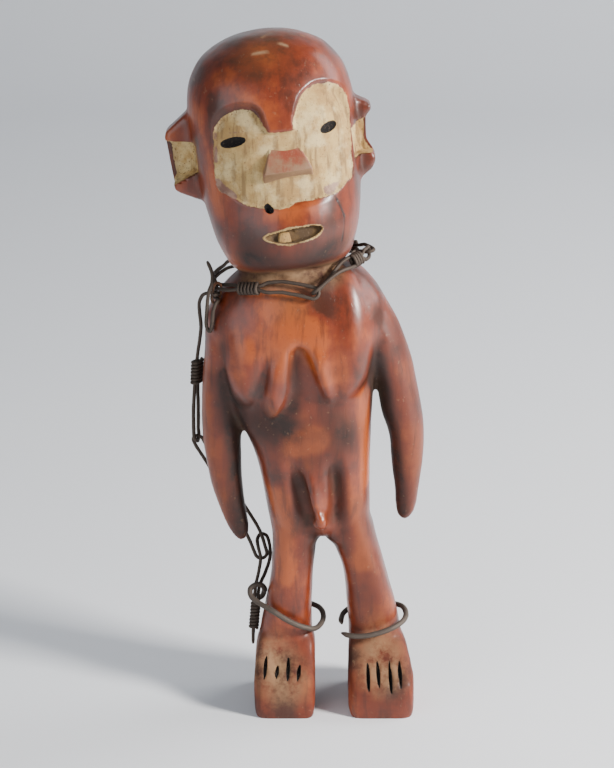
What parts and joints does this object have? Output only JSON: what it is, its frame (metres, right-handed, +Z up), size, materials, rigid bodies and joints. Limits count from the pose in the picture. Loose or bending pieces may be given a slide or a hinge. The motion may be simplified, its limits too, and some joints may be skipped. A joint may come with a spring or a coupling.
{
  "type": "carved wooden figure",
  "caption": "Standing carved wooden figure with a long tilted head, block ears and feet, an iron wire chain from neck to ankle and open iron anklets.",
  "frame": {"origin": "middle of the bottom of the whole object's box, on the ground under the feet", "axes": "+Z up, +X towards the figure's own left (viewer's right), the face looks along -Y"},
  "size_m": [0.1362, 0.0872, 0.3741],
  "materials": {
    "wood": "polished red-brown with kaolin-white face fields",
    "chain_iron": "old wrought wire, brown rust",
    "anklet_iron": "old wrought rod, dull"
  },
  "bodies": {
    "root": {"figure": "wood", "neck_link_front_left": "chain_iron", "neck_link_front_right": "chain_iron", "neck_link_back_right": "chain_iron", "neck_link_back": "chain_iron", "neck_link_back_left": "chain_iron", "joining_ring": "chain_iron", "hook_link": "chain_iron", "shoulder_link": "chain_iron", "arm_link": "chain_iron", "ankle_link": "chain_iron", "anklet_right": "anklet_iron", "anklet_left": "anklet_iron"}
  },
  "joints": []
}
